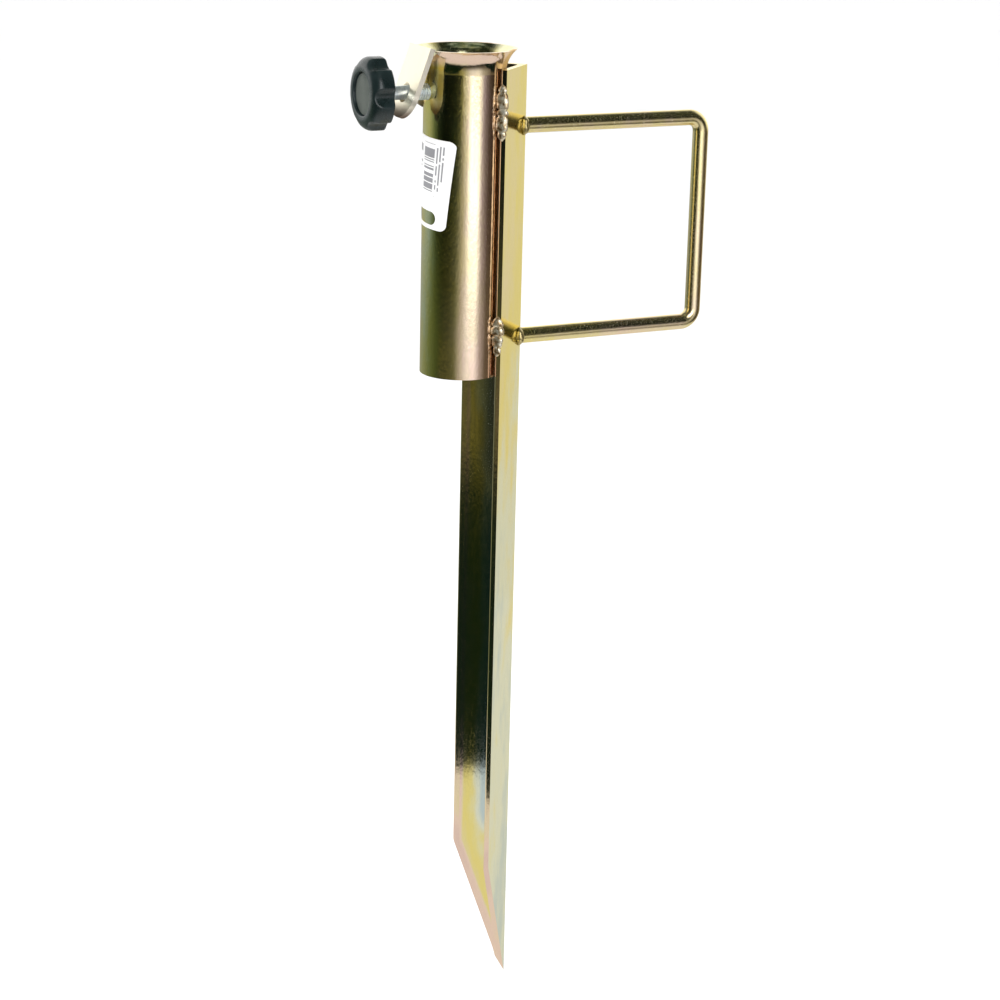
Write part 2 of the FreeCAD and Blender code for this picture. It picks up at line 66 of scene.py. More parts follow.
# ---------------------------------------------------------------- node graphs
class Graph:
    """Short calls for building a shader node tree."""

    def __init__(self, tree):
        self.tree = tree
        tree.nodes.clear()

    def add(self, kind, **props):
        node = self.tree.nodes.new(f"ShaderNode{kind}")
        for name, value in props.items():
            setattr(node, name, value)
        return node

    def put(self, socket, value):
        if isinstance(value, bpy.types.NodeSocket):
            self.tree.links.new(value, socket)
        elif isinstance(value, (tuple, list)) and socket.type == "RGBA":
            socket.default_value = (*value[:3], 1.0)
        else:
            socket.default_value = value

    def math(self, op, a, b=0.0):
        node = self.add("Math", operation=op)
        self.put(node.inputs[0], a)
        self.put(node.inputs[1], b)
        return node.outputs[0]

    def product(self, *factors):
        result = factors[0]
        for factor in factors[1:]:
            result = self.math("MULTIPLY", result, factor)
        return result

    def split(self, vector):
        node = self.add("SeparateXYZ")
        self.put(node.inputs[0], vector)
        return node.outputs

    def dot(self, a, b):
        node = self.add("VectorMath", operation="DOT_PRODUCT")
        self.put(node.inputs[0], a)
        self.put(node.inputs[1], b)
        return node.outputs["Value"]

    def mix(self, factor, a, b, blend="MIX"):
        """Two colours mixed by the factor."""
        node = self.add("Mix", data_type="RGBA", blend_type=blend, clamp_factor=True)
        self.put(node.inputs[0], factor)
        self.put(node.inputs[6], a)
        self.put(node.inputs[7], b)
        return node.outputs[2]

    def between(self, factor, a, b):
        """Two numbers mixed by the factor."""
        node = self.add("Mix", data_type="FLOAT", clamp_factor=True)
        self.put(node.inputs[0], factor)
        self.put(node.inputs[2], a)
        self.put(node.inputs[3], b)
        return node.outputs[0]

    def smooth(self, value, low, high, to_low=0.0, to_high=1.0):
        node = self.add("MapRange", interpolation_type="SMOOTHSTEP")
        for socket, given in zip(node.inputs, (value, low, high, to_low, to_high)):
            self.put(socket, given)
        return node.outputs[0]

    def ramp(self, factor, stops, interpolation="EASE"):
        """A colour ramp through (place, colour) stops."""
        node = self.add("ValToRGB")
        band = node.color_ramp
        band.interpolation = interpolation
        while len(band.elements) < len(stops):
            band.elements.new(0.5)
        for element, (place, colour) in zip(band.elements, stops):
            element.position = place
            element.color = (*colour, 1.0)
        self.put(node.inputs[0], factor)
        return node.outputs[0]

    def levels(self, factor, stops):
        """A ramp through (place, number) stops."""
        return self.ramp(factor, [(place, (level,) * 3) for place, level in stops])

    def coordinates(self, scale=(1, 1, 1)):
        node = self.add("Mapping")
        self.put(node.inputs["Vector"], self.add("TexCoord").outputs["Object"])
        node.inputs["Scale"].default_value = scale
        return node.outputs[0]

    def noise(self, scale, detail=3.0, rough=0.5, stretch=(1, 1, 1), distort=0.0):
        node = self.add("TexNoise")
        self.put(node.inputs["Vector"], self.coordinates(stretch))
        node.inputs["Scale"].default_value = scale
        node.inputs["Detail"].default_value = detail
        node.inputs["Roughness"].default_value = rough
        node.inputs["Distortion"].default_value = distort
        return node.outputs["Fac"]

    def bump(self, height, millimetres, after=None):
        node = self.add("Bump")
        node.inputs["Strength"].default_value = 1.0
        node.inputs["Distance"].default_value = millimetres * MM
        self.put(node.inputs["Height"], height)
        if after is not None:
            self.put(node.inputs["Normal"], after)
        return node.outputs[0]

    def surface(self, **inputs):
        shader = self.add("BsdfPrincipled")
        for name, value in inputs.items():
            self.put(shader.inputs[name.replace("_", " ")], value)
        self.put(self.add("OutputMaterial").inputs["Surface"], shader.outputs[0])


def material(name):
    made = bpy.data.materials.new(name)
    made.use_nodes = True
    return made, Graph(made.node_tree)


def dress(obj, look):
    obj.data.materials.clear()
    obj.data.materials.append(look)


def position(g):
    """X, Y and Z of the shaded point, in millimetres."""
    return g.split(g.coordinates((1 / MM, 1 / MM, 1 / MM)))


def facing(g):
    """X, Y and Z of the shaded face's normal."""
    return g.split(g.add("NewGeometry").outputs["True Normal"])


# -------------------------------------------------------------------- plating
FILM_COLOURS = (
    (0.00, (0.48, 0.56, 0.55)),
    (0.16, (0.66, 0.68, 0.54)),
    (0.36, (0.74, 0.63, 0.22)),
    (0.50, (0.72, 0.62, 0.33)),
    (0.62, (0.74, 0.61, 0.41)),
    (0.76, (0.76, 0.58, 0.46)),
    (0.90, (0.70, 0.52, 0.44)),
    (1.00, (0.62, 0.62, 0.56)),
)
STRAW_FILM = 0.52
WORN_FILM = (0.93, 0.90, 0.82)


def plating(name, film_at=None, gloss=0.10, pale=0.0, swell=0.3, grain=0.034, speck=0.14,
            tinted_zone=None, zone_tint=(0.3, 0.2, 0.1), zone_metal=0.35):
    """Yellow passivated zinc: a mirror-like film whose tint drifts from blue-green through straw to pink.

    film_at(graph) gives the film's mean tint, 0 to 1, and pale lightens all of it.
    swell and grain are the heights in millimetres of the slow and the fine unevenness.
    speck is the roughness that dull specks add.
    tinted_zone(graph) is 1 where the surface is rough and has the colour zone_tint and metallic zone_metal.
    """
    look, g = material(name)
    mean = film_at(g) if film_at else STRAW_FILM
    broad = g.noise(17.0, detail=2.0, stretch=(1, 1, 0.4), distort=0.6)
    fine = g.noise(150.0, detail=3.0, stretch=(1, 1, 0.35))
    drift = g.product(g.math("SUBTRACT", broad, 0.5), 0.62)
    drift = g.math("ADD", drift, g.product(g.math("SUBTRACT", fine, 0.5), 0.30))
    colour = g.ramp(g.math("ADD", drift, mean), FILM_COLOURS)
    colour = g.mix(pale, colour, WORN_FILM)
    streak = g.noise(1000.0, detail=2.0, stretch=(1, 1, 0.12))
    specks = g.noise(2400.0, detail=1.0)
    roughness = g.math("ADD", g.product(streak, 0.10), gloss - 0.05)
    roughness = g.math("ADD", roughness, g.product(g.smooth(specks, 0.60, 0.74), speck))
    metal = 1.0
    # On the angle's root this zone paints shade, and on the bracket's lobe a dark reflection of the knob.
    if tinted_zone:
        zone = tinted_zone(g)
        colour = g.mix(zone, colour, zone_tint)
        roughness = g.math("ADD", roughness, g.product(zone, 0.36))
        metal = g.math("SUBTRACT", 1.0, g.product(zone, 1 - zone_metal))
    waves = g.bump(g.noise(48.0, detail=1.5, stretch=(1, 1, 0.4)), swell)
    skin = g.bump(g.noise(760.0, detail=2.0, stretch=(1, 1, 0.45)), grain, after=waves)
    g.surface(Base_Color=colour, Metallic=metal, Roughness=roughness, Normal=skin,
              Specular_Tint=(0.95, 0.90, 0.74))
    return look


def bore_side(g):
    """1 on the faces of the tube that look towards its axis."""
    x, y, z = position(g)
    normal = facing(g)
    radial = g.math("ADD", g.product(x, normal[0]), g.product(y, normal[1]))
    return g.math("LESS_THAN", radial, -0.5)


def tube_film(g):
    """Green-straw turning pink around the barrel, a painted straw reflection of the bracket on its side, pink
    under the flared mouth, grey-green inside.
    """
    x, y, z = position(g)
    turn = g.math("ARCTAN2", x, g.product(y, -1.0))
    turn = g.math("ADD", g.math("DIVIDE", turn, math.tau), 0.5)
    barrel = g.levels(turn, (
        (0.00, 0.60), (0.14, 0.26), (0.26, 0.28), (0.38, 0.48),
        (0.47, 0.68), (0.56, 0.78), (0.80, 0.50), (1.00, 0.60)))
    # Painted reflection of the bracket: straw film on the tube's side towards it, below the mouth.
    bracket_reflection = g.product(g.smooth(x, -6.0, -13.0), g.smooth(z, MOUTH_Z - 52.0, MOUTH_Z - 28.0))
    film = g.between(bracket_reflection, barrel, 0.40)
    film = g.between(g.smooth(z, MOUTH_Z - 10.0, MOUTH_Z - 4.0), film, 0.84)
    return g.between(bore_side(g), film, 0.22)


def tube_seam(g):
    """1 in the narrow strips outside the tube beside the two welded flange edges."""
    x, y, z = position(g)
    bearing = g.math("ABSOLUTE", g.math("ARCTAN2", y, x))
    front_edge = g.smooth(bearing, math.radians(58.0), math.radians(52.0))
    back_edge = g.smooth(bearing, math.radians(30.0), math.radians(36.0))
    return g.product(front_edge, back_edge, g.math("SUBTRACT", 1.0, bore_side(g)))


def inner_side(g):
    """1 on the faces of the angle that look towards the tube."""
    return g.math("LESS_THAN", facing(g)[0], 0.0)


def angle_film(g):
    """Pink along sheared edges, yellow beside them, then blue-green towards the root of the inner faces."""
    x, y, z = position(g)
    up = g.math("SUBTRACT", z, TIP_Z)
    from_corner = g.product(g.math("SUBTRACT", SPIKE_HIGH.x, x), math.sqrt(2))
    width = g.math("MINIMUM", LEG, g.product(up, LEG / POINT_HEIGHT))
    from_edge = g.math("DIVIDE", g.math("SUBTRACT", width, from_corner), LEG)
    inner = g.levels(from_edge, (
        (0.00, 0.60), (0.01, 0.60), (0.02, 0.80), (0.045, 0.74), (0.10, 0.42), (0.24, 0.34), (0.50, 0.04)))
    lower = g.levels(from_edge, (
        (0.00, 0.84), (0.035, 0.80), (0.10, 0.44), (0.24, 0.38), (0.40, 0.34), (0.50, 0.36), (0.72, 0.24)))
    inner = g.between(g.smooth(up, POINT_HEIGHT + 23.0, POINT_HEIGHT + 3.0), inner, lower)
    outer = g.levels(g.math("DIVIDE", up, MOUTH_Z - TIP_Z), (
        (0.00, 0.14), (0.20, 0.15), (0.45, 0.17), (0.62, 0.24), (0.75, 0.46)))
    return g.between(inner_side(g), outer, inner)


def angle_root_shade(g):
    """1 at the root of the angle just below the tube, where painted shade from the tube darkens it brown."""
    x, y, z = position(g)
    return g.product(g.smooth(x, 15.0, 28.0), g.smooth(z, -75.0, -45.0), inner_side(g), 0.85)


def lobe_knob_reflection(g):
    """1 on the lobe of the bracket below the clamp screw, where a dark reflection of the knob is painted."""
    return g.smooth(position(g)[2], SCREW_Z - 3.5, SCREW_Z - 11.5)


# ------------------------------------------------------------ other materials
def weld_metal():
    """Bright bead with browned hollows; the beads at the handle are plated over."""
    look, g = material("weld_metal")
    patch = g.noise(520.0, detail=4.0, rough=0.6)
    colour = g.ramp(patch, (
        (0.38, (0.30, 0.19, 0.09)), (0.50, (0.66, 0.55, 0.36)), (0.62, (0.92, 0.87, 0.72))))
    at_handle = g.smooth(position(g)[0], 19.0, 24.0)
    colour = g.mix(at_handle, colour, (0.46, 0.38, 0.18))
    g.surface(Base_Color=colour, Metallic=g.math("ADD", g.product(at_handle, 0.1), 0.9),
              Roughness=g.math("ADD", g.product(patch, 0.3), 0.2),
              Normal=g.bump(g.noise(1500.0, detail=3.0), 0.04))
    return look


def bright_zinc():
    """Clear zinc of the clamp screw: pale blue-grey with fine turning marks."""
    look, g = material("screw_zinc")
    rings = g.noise(700.0, detail=2.0, stretch=(4, 0.3, 0.3))
    colour = g.ramp(rings, (
        (0.30, (0.62, 0.69, 0.72)), (0.60, (0.80, 0.86, 0.88)), (0.75, (0.84, 0.84, 0.78))))
    g.surface(Base_Color=colour, Metallic=0.8, Roughness=g.math("ADD", g.product(rings, 0.16), 0.26),
              Normal=g.bump(rings, 0.01))
    return look


def moulded(name, dark, light, gloss):
    """Moulded plastic with a fine matt grain and slight flow mottling."""
    look, g = material(name)
    flow = g.noise(90.0, detail=3.0, distort=0.8)
    soft = g.bump(g.noise(260.0, detail=1.0), 0.06)
    pits = g.bump(g.noise(3800.0, detail=2.0), 0.04, after=soft)
    g.surface(Base_Color=g.mix(g.smooth(flow, 0.35, 0.7), dark, light),
              Roughness=g.math("ADD", g.product(flow, 0.12), gloss - 0.06), Normal=pits)
    return look


# ------------------------------------------------------------------ the label
# Middle of the print along the tube's girth and up it; blocks are left, right, low and high from there.
LABEL_GIRTH, LABEL_Z = 1.4, 96.2
LABEL_TILT = math.radians(5.0)
BAR_BLOCK = (-3.6, 5.0, -5.0, 19.5)
RULE_HALF = 0.45
# Middle, low and high of each dashed rule.
RULES = ((6.6, -6.0, 18.0), (8.4, -3.0, 19.0), (10.2, 2.0, 19.0))
PATCHES = ((-13.0, -6.0, 14.0, 17.5), (-13.0, -6.0, 8.5, 9.6), (-13.0, -7.5, 6.0, 7.1))


def within(g, value, low, high, edge=0.12):
    """1 between low and high, with soft edges."""
    above = g.smooth(value, low - edge, low + edge)
    below = g.smooth(value, high - edge, high + edge, 1.0, 0.0)
    return g.product(above, below)


def block(g, u, v, bounds):
    """1 inside the upright rectangle with the given left, right, low and high."""
    left, right, low, high = bounds
    return g.product(within(g, u, left, right), within(g, v, low, high))


def stripes(g, value, period, seed, threshold):
    """A fixed random choice of 1 or 0 for each period along the value."""
    cell = g.add("TexWhiteNoise", noise_dimensions="1D")
    index = g.math("FLOOR", g.math("DIVIDE", value, period))
    g.put(cell.inputs["W"], g.math("ADD", index, seed))
    return g.math("GREATER_THAN", cell.outputs["Value"], threshold)


def sticker():
    """White coated paper with generic grey bars and rules, slightly soiled."""
    look, g = material("label_paper")
    x, y, z = position(g)
    girth = g.product(g.math("ARCTAN2", g.product(y, -1.0), g.product(x, -1.0)), TUBE_RADIUS + 0.1)
    across = g.math("SUBTRACT", girth, LABEL_GIRTH)
    upward = g.math("SUBTRACT", z, LABEL_Z)
    cosine, sine = math.cos(LABEL_TILT), math.sin(LABEL_TILT)
    u = g.math("ADD", g.product(across, cosine), g.product(upward, -sine))
    v = g.math("ADD", g.product(upward, cosine), g.product(across, sine))
    ink = g.product(stripes(g, v, 0.55, 3.5, 0.45), block(g, u, v, BAR_BLOCK))
    for index, (centre, low, high) in enumerate(RULES):
        rule = block(g, u, v, (centre - RULE_HALF, centre + RULE_HALF, low, high))
        dashes = stripes(g, v, 1.15, 17.5 + index * 9.0, 0.28)
        ink = g.math("MAXIMUM", ink, g.product(rule, dashes))
    for bounds in PATCHES:
        ink = g.math("MAXIMUM", ink, block(g, u, v, bounds))
    smudge = g.noise(160.0, detail=4.0)
    paper = g.mix(g.smooth(smudge, 0.45, 0.8), (0.90, 0.90, 0.90), (0.80, 0.80, 0.79))
    g.surface(Base_Color=g.mix(g.product(ink, 0.85), paper, (0.16, 0.16, 0.18)),
              Roughness=g.math("ADD", g.product(smudge, 0.2), 0.42),
              Normal=g.bump(g.noise(2200.0, detail=3.0), 0.03))
    return look


# -------------------------------------------------------------------- studio
# The studio's front faces this bearing from -Y; from above, it turns anticlockwise.
STUDIO_FRONT = math.radians(-25.08)
# Light that upright surfaces reflect at two heights, by bearing from the studio's front in degrees.
HIGH_SIDE = (
    (-180, (0.45, 0.45, 0.42)),
    (-150, (0.50, 0.55, 0.55)),
    (-128, (0.48, 0.54, 0.50)),
    (-108, (0.40, 0.46, 0.40)),
    (-90, (0.13, 0.18, 0.14)),
    (-77, (0.022, 0.034, 0.022)),
    (-62, (0.004, 0.008, 0.008)),
    (-46, (0.001, 0.004, 0.004)),
    (-32, (0.007, 0.015, 0.013)),
    (-20, (0.024, 0.036, 0.026)),
    (-10, (0.11, 0.12, 0.085)),
    (0, (0.42, 0.39, 0.36)),
    (9, (0.74, 0.70, 0.76)),
    (16, (1.6, 1.6, 1.8)),
    (22, (2.8, 2.8, 3.0)),
    (40, (2.8, 2.8, 3.0)),
    (48, (1.5, 1.5, 1.7)),
    (56, (0.50, 0.44, 0.55)),
    (66, (0.22, 0.18, 0.20)),
    (77, (0.09, 0.07, 0.055)),
    (90, (0.04, 0.026, 0.018)),
    (103, (0.055, 0.034, 0.018)),
    (118, (0.12, 0.08, 0.045)),
    (132, (0.28, 0.21, 0.14)),
    (138, (0.95, 0.94, 0.86)),
    (160, (0.90, 0.90, 0.84)),
    (180, (0.45, 0.45, 0.42)),
)
LOW_SIDE = (
    (-180, (0.45, 0.45, 0.42)),
    (-137, (0.33, 0.37, 0.31)),
    (-103, (0.16, 0.20, 0.11)),
    (-77, (0.09, 0.12, 0.068)),
    (-56, (0.048, 0.060, 0.028)),
    (-36, (0.080, 0.084, 0.044)),
    (-18, (0.18, 0.18, 0.12)),
    (0, (0.57, 0.54, 0.50)),
    (18, (1.05, 1.05, 1.12)),
    (38, (1.25, 1.25, 1.30)),
    (56, (0.52, 0.50, 0.46)),
    (77, (0.16, 0.135, 0.09)),
    (100, (0.15, 0.115, 0.065)),
    (118, (0.18, 0.14, 0.08)),
    (132, (0.34, 0.27, 0.18)),
    (138, (0.92, 0.90, 0.84)),
    (160, (0.90, 0.90, 0.84)),
    (180, (0.45, 0.45, 0.42)),
)
BRIGHTEST = 3.0
# Bearings in turns, with 0.5 at the studio's front.
WINDOW = 0.53
BRIGHT_COLUMN = 0.583
DARK_CORNER = 0.40
OLIVE_CORNER = 0.39


def near(g, around, centre, wide, narrow):
    """1 within narrow of the bearing centre, fading to 0 at wide."""
    return g.smooth(g.math("ABSOLUTE", g.math("SUBTRACT", around, centre)), wide, narrow)


def side_band(g, around, colours):
    """The ring of light through the given stops, scaled down to fit a ramp and up again."""
    stops = []
    for bearing, colour in colours:
        stops.append((bearing / 360 + 0.5, tuple(level / BRIGHTEST for level in colour)))
    return g.mix(1.0, g.ramp(around, stops, "LINEAR"), (BRIGHTEST,) * 3, "MULTIPLY")


def side_light(g, around, height):
    """Light below eye level: dark on the left, a bright column, brown on the right, and darker lower down."""
    # A height is the sine of the direction's angle above the horizon.
    front = near(g, around, WINDOW, 0.30, 0.22)
    column = near(g, around, BRIGHT_COLUMN, 0.15, 0.08)
    high_side, low_side = (side_band(g, around, colours) for colours in (HIGH_SIDE, LOW_SIDE))
    side = g.mix(g.smooth(height, -0.15, -0.24), high_side, low_side)
    side = g.mix(g.smooth(height, -0.138, -0.118), side, (1.12, 1.07, 0.96), "DARKEN")
    lifted = g.math("ADD", height, g.product(column, 0.42))
    zones = (
        (near(g, around, DARK_CORNER, 0.11, 0.06), g.smooth(height, -0.142, -0.124), (0.003, 0.004, 0.004)),
        (near(g, around, OLIVE_CORNER, 0.09, 0.05), g.smooth(height, -0.235, -0.25), (0.17, 0.16, 0.08)),
        (column, g.smooth(height, -0.25, -0.72), (0.05, 0.045, 0.03)),
        (front, g.smooth(lifted, -0.262, -0.287), (0.007, 0.017, 0.011)),
        (front, g.smooth(height, -0.70, -0.78), (0.92, 0.90, 0.88)),
    )
    for across, upright, colour in zones:
        side = g.mix(g.product(across, upright), side, colour)
    return side


def upper_light(g, ray, around, height, toward):
    """Light above eye level: a dim cluttered room, pale behind the object, with a window at the front."""
    room = g.add("TexNoise")
    g.put(room.inputs["Vector"], ray)
    room.inputs["Scale"].default_value = 4.0
    clutter = g.smooth(room.outputs["Fac"], 0.42, 0.60)
    upper = g.mix(clutter, (0.012, 0.016, 0.010), (0.06, 0.065, 0.045))
    upper = g.mix(g.smooth(g.product(toward, -1.0), -0.05, 0.55), upper, (1.5, 1.5, 1.47))
    upper = g.mix(near(g, around, WINDOW, 0.05, 0.025), upper, (4.2, 4.2, 4.3))
    ceiling = g.mix(clutter, (0.02, 0.026, 0.016), (0.09, 0.10, 0.07))
    upper = g.mix(g.smooth(height, 0.55, 0.85), upper, ceiling)
    overhead = g.mix(clutter, (0.08, 0.11, 0.07), (0.42, 0.44, 0.36))
    return g.mix(g.smooth(height, 0.90, 0.96), upper, overhead)


def studio_world(scene):
    """White surroundings for the eye and for soft light; only reflections see the studio."""
    world = bpy.data.worlds.new("studio")
    scene.world = world
    world.use_nodes = True
    g = Graph(world.node_tree)
    ray = g.add("TexCoord").outputs["Generated"]
    right = g.dot(ray, (math.cos(STUDIO_FRONT), math.sin(STUDIO_FRONT), 0))
    toward = g.dot(ray, (math.sin(STUDIO_FRONT), -math.cos(STUDIO_FRONT), 0))
    height = g.dot(ray, (0, 0, 1))
    around = g.math("ADD", g.math("DIVIDE", g.math("ARCTAN2", right, toward), math.tau), 0.5)
    upper = upper_light(g, ray, around, height, toward)
    seen = g.mix(g.smooth(height, -0.115, -0.055), side_light(g, around, height), upper)
    path = g.add("LightPath")
    light = g.mix(path.outputs["Is Glossy Ray"], (1.08, 1.08, 1.08), seen)
    light = g.mix(path.outputs["Is Camera Ray"], light, (1.0, 1.0, 1.0))
    background = g.add("Background")
    g.put(background.inputs["Color"], light)
    g.put(g.add("OutputWorld").inputs["Surface"], background.outputs[0])
    world.cycles.sampling_method = "NONE"


FLOOR_Z = (TIP_Z - 0.2) * MM
FLOOR_HALF = 15
BOARD_RADIUS = 0.45
BOARD_CENTRE = (0.188, 0.065)
BOARD_LIFT = 0.0002


def pale_floor():
    """A wide pale floor, hidden from reflections."""
    look, g = material("pale_floor")
    tone = g.mix(g.noise(3.0, detail=2.0), (0.945, 0.945, 0.94), (0.965, 0.965, 0.96))
    g.surface(Base_Color=tone, Roughness=0.8)
    ends = (-FLOOR_HALF, FLOOR_HALF)
    floor = grid_object("floor", [[Vector((x, y, FLOOR_Z)) for x in ends] for y in ends])
    dress(floor, look)
    floor.visible_glossy = False


def white_board():
    """A glowing disc under the object that only its reflections show."""
    look, g = material("white_board")
    glow = g.add("Emission")
    glow.inputs["Color"].default_value = (1.0, 0.99, 0.96, 1.0)
    glow.inputs["Strength"].default_value = 0.95
    g.put(g.add("OutputMaterial").inputs["Surface"], glow.outputs[0])
    sides = 96
    rim = []
    for side in range(sides):
        angle = side * math.tau / sides
        rim.append(Vector((BOARD_CENTRE[0] + BOARD_RADIUS * math.cos(angle),
                           BOARD_CENTRE[1] + BOARD_RADIUS * math.sin(angle), FLOOR_Z + BOARD_LIFT)))
    board = new_object("board", rim, [tuple(range(sides))])
    dress(board, look)
    board.visible_camera = board.visible_diffuse = board.visible_shadow = False


def area_light(name, place, aim, size, watts):
    """A square soft light that reflections don't show."""
    lamp = bpy.data.lights.new(name, "AREA")
    lamp.size = size
    lamp.energy = watts
    obj = bpy.data.objects.new(name, lamp)
    bpy.context.scene.collection.objects.link(obj)
    obj.location = place
    obj.rotation_mode = "QUATERNION"
    obj.rotation_quaternion = (Vector(aim) - Vector(place)).to_track_quat("-Z", "Y")
    obj.visible_glossy = False


CAMERA_AIM = Vector((0.02434, 0, -0.07032))
CAMERA_DISTANCE = 1.23964
CAMERA_AZIMUTH, CAMERA_ELEVATION, CAMERA_ROLL = (math.radians(a) for a in (-26.145, 16.927, 1.386))
FOCAL_LENGTH, SENSOR_WIDTH = 87.04, 36.0


def camera(scene):
    """An eye slightly above the object and to its left, with a small roll."""
    level = math.cos(CAMERA_ELEVATION)
    back = Vector((
        math.sin(CAMERA_AZIMUTH) * level,
        -math.cos(CAMERA_AZIMUTH) * level,
        math.sin(CAMERA_ELEVATION),
    ))
    right = Vector((0, 0, 1)).cross(back).normalized()
    up = back.cross(right)
    tilted = math.cos(CAMERA_ROLL) * right + math.sin(CAMERA_ROLL) * up
    upward = -math.sin(CAMERA_ROLL) * right + math.cos(CAMERA_ROLL) * up
    lens = bpy.data.cameras.new("camera")
    lens.sensor_width = SENSOR_WIDTH
    lens.lens = FOCAL_LENGTH
    lens.clip_start, lens.clip_end = 0.05, 60.0
    eye = bpy.data.objects.new("camera", lens)
    scene.collection.objects.link(eye)
    turned = Matrix((tilted, upward, back)).transposed().to_4x4()
    eye.matrix_world = Matrix.Translation(CAMERA_AIM + back * CAMERA_DISTANCE) @ turned
    scene.camera = eye


# --------------------------------------------------------------------- meshes
def new_object(name, points, faces, smooth=False):
    mesh = bpy.data.meshes.new(name)
    mesh.from_pydata([tuple(p) for p in points], [], faces)
    mesh.update()
    if smooth:
        mesh.polygons.foreach_set("use_smooth", [True] * len(mesh.polygons))
    obj = bpy.data.objects.new(name, mesh)
    bpy.context.scene.collection.objects.link(obj)
    return obj


def grid_object(name, rows, wrap=False, loop=False, caps=False, smooth=False):
    """A surface through rows of points.

    wrap joins each row's ends, loop joins the last row to the first, and caps closes the first and last row.
    """
    count = len(rows[0])
    points = [p for row in rows for p in row]
    faces = []
    for i in range(len(rows) if loop else len(rows) - 1):
        here, there = i * count, (i + 1) % len(rows) * count
        for j in range(count if wrap else count - 1):
            k = (j + 1) % count
            faces.append((here + j, here + k, there + k, there + j))
    if caps:
        faces.append(tuple(reversed(range(count))))
        last = (len(rows) - 1) * count
        faces.append(tuple(last + j for j in range(count)))
    return new_object(name, points, faces, smooth)


def finished(obj, sharp_degrees):
    """The closed mesh with its normals outward and its sharper edges kept sharp."""
    work = bmesh.new()
    work.from_mesh(obj.data)
    bmesh.ops.recalc_face_normals(work, faces=work.faces)
    work.to_mesh(obj.data)
    work.free()
    obj.data.set_sharp_from_angle(angle=math.radians(sharp_degrees))
    return obj


def ring_around_screw(x, segments, radius_at):
    """Points at X x around the screw's axis, where radius_at(angle) is in millimetres."""
    ring = []
    for j in range(segments):
        angle = j * math.tau / segments
        radius = radius_at(angle)
        ring.append(Vector((x, -radius * math.sin(angle), SCREW_Z + radius * math.cos(angle))) * MM)
    return ring


def clamp_screw():
    """Hexagon head, plain shank and a real right-hand helical thread to the chamfered tip."""
    pitch, major, minor, shank = 1.25, 3.95, 3.2, 3.4
    half_across_flats, chamfer_radius, collar = 6.5, 6.2, 0.35
    head_front, head_back, tip = SCREW_LOW.x, -46.0, SCREW_HIGH.x
    shank_middle, thread_start = -37.0, -28.0
    run_in_length, tip_radius = 0.9, 3.0
    thread_steps = 150

    def hexagon(angle):
        return half_across_flats / math.cos((angle + math.pi / 6) % (math.pi / 3) - math.pi / 6)

    def thread(x, angle):
        """Flat crests and roots joined by straight flanks, fading into the shank and the tip's chamfer."""
        phase = (x / pitch + angle / math.tau) % 1.0
        ridge = min(1.0, max(0.0, 1.45 - abs(phase - 0.5) * 3.4))
        run_in = min(1.0, max(0.0, (x - thread_start) / run_in_length))
        radius = shank + (minor + (major - minor) * ridge - shank) * run_in
        return min(radius, tip_radius + tip - x)

    rings = [
        (head_front, lambda a: min(hexagon(a), chamfer_radius)),
        (head_front + 0.4, lambda a: min(hexagon(a), chamfer_radius + 0.7)),
        (head_front + 0.8, hexagon),
        (head_back, hexagon),
        (head_back, lambda a: shank + collar),
        (head_back + 0.3, lambda a: shank),
        (shank_middle, lambda a: shank),
    ]
    for i in range(thread_steps + 1):
        x = thread_start + (tip - thread_start) * i / thread_steps
        rings.append((x, lambda a, x=x: thread(x, a)))
    rows = [ring_around_screw(x, 72, radius_at) for x, radius_at in rings]
    return finished(grid_object("clamp_screw_threaded", rows, wrap=True, caps=True, smooth=True), 38)


def arc(cx, cr, radius, start, stop, count):
    """Points of an arc about (cx, cr), from one angle in degrees to another."""
    points = []
    for i in range(count + 1):
        angle = math.radians(start + (stop - start) * i / count)
        points.append((cx + radius * math.cos(angle), cr + radius * math.sin(angle)))
    return points


def knob_profile():
    """X and radius around the grip's section: recess, domed front, rim, back and hub."""
    front, hub_end = KNOB_LOW.x, KNOB_HIGH.x
    back, recess_floor = -43.3, -51.4
    outer, dome, recess, back_ring, hub, bore = 17.5, 5.2, 10.3, 13.0, 7.5, 3.5
    small, lip, rear, fillet = 0.4, 0.7, 1.2, 0.8
    profile = [(recess_floor, bore)]
    profile += arc(recess_floor - small, recess - small, small, 0, 90, 4)
    profile += arc(front + lip, recess + lip, lip, 270, 180, 5)
    profile += arc(front + dome, outer - dome, dome, 180, 90, 18)
    profile += [(x, outer) for x in (-48.0, -47.0, -46.0)]
    profile += arc(back - rear, outer - rear, rear, 90, 0, 6)
    profile += [(back, back_ring)]
    profile += arc(back + fillet, hub + fillet, fillet, 180, 270, 4)
    profile += arc(hub_end - small, hub - small, small, 90, 0, 4)
    profile += [(hub_end, bore)]
    return profile


def knob():
    """Six-lobed grip: the flutes melt into the dome, with a recess in front and a hub behind."""
    flute_circle, flute_radius, softness = 20.2, 5.2, 0.42
    no_flute, fluted_from = 30.0, 11.5

    def flute(angle):
        off = (angle - math.pi / 6) % (math.pi / 3)
        off = min(off, math.pi / 3 - off)
        inside = flute_radius ** 2 - (flute_circle * math.sin(off)) ** 2
        return flute_circle * math.cos(off) - math.sqrt(inside) if inside > 0 else no_flute

    def blended(radius, angle):
        """The smaller of the profile's and the flute's radius, rounded where they meet."""
        if radius <= fluted_from:
            return radius
        limit = flute(angle)
        low = min(radius, limit)
        return low - softness * math.log(
            math.exp((low - radius) / softness) + math.exp((low - limit) / softness))

    rows = [ring_around_screw(x, 240, lambda a, r=radius: blended(r, a)) for x, radius in knob_profile()]
    return finished(grid_object("knob_grip", rows, wrap=True, loop=True, smooth=True), 50)


BEAD_VOXEL = 0.3 * MM


